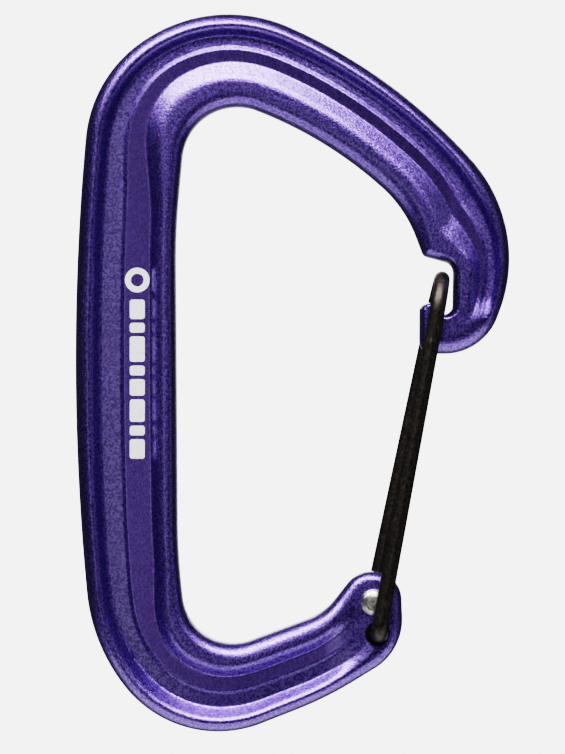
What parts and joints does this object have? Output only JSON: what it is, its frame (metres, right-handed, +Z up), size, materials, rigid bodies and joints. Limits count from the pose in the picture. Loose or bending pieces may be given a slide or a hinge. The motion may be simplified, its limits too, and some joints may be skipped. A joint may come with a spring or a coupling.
{
  "type": "wire-gate carabiner",
  "caption": "D-shaped carabiner with a forged I-beam aluminium body, a hooked nose and a sprung bent-wire gate.",
  "frame": {"origin": "centre of the bounding box, on the forging's parting plane", "axes": "+Z up along the spine towards the end where the nose is, +X from the spine to the gate, +Y through the thickness, away from the side with the front leg"},
  "size_m": [0.0579, 0.0118, 0.0958],
  "materials": {
    "anodised_aluminium": "satin",
    "blackened_steel": "satin",
    "bare_steel": "satin"
  },
  "bodies": {
    "frame": {"body": "anodised_aluminium"},
    "gate_front": {"gate_wire_front_leg": "blackened_steel"},
    "gate_back": {"gate_wire_back_leg": "blackened_steel"}
  },
  "joints": [
    {"name": "gate", "type": "hinge", "parent": "frame", "child": "gate_front", "pos_m": [0.0113, 0, -0.03475], "axis": [0, -1, 0], "range_deg": [0, 41], "stiffness_Nm_per_rad": 0.25, "springref_deg": -22.92},
    {"name": "crown_twist", "type": "hinge", "parent": "gate_front", "child": "gate_back", "pos_m": [0.01992, 0, 0.01259], "axis": [0, -1, 0], "range_deg": [0, 4]}
  ],
  "couplings": [
    {"joint": "crown_twist", "follows": "gate", "ratio": 0.096}
  ]
}
